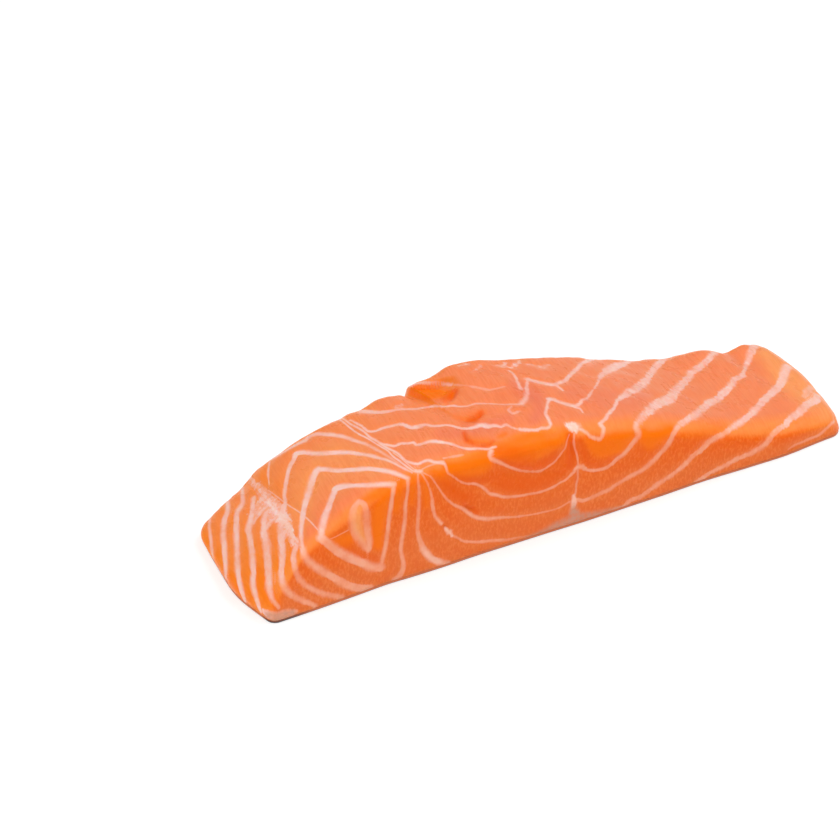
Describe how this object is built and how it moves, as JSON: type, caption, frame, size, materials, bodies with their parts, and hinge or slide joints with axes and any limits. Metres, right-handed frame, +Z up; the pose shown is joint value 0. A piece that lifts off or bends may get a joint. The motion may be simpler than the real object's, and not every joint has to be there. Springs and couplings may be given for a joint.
{
  "type": "raw salmon portion",
  "caption": "Raw skin-on salmon portion cut across a side: thick rounded back end with nested white fat lines, thin belly end with slanting stripes, dark skin below.",
  "frame": {"origin": "middle of the underside's bounding box, on the surface that the portion lies on", "axes": "+X from the thick back end to the thin belly end, +Y across the portion from the near cut face to the far one, +Z up through the flesh"},
  "size_m": [0.168, 0.0432, 0.0288],
  "materials": {
    "raw_salmon": "moist raw flesh, soft sheen, with pale fat lines",
    "salmon_skin": "dark silvery grey, small scales, moist"
  },
  "bodies": {
    "root": {"flesh": "raw_salmon", "skin": "salmon_skin"}
  },
  "joints": []
}
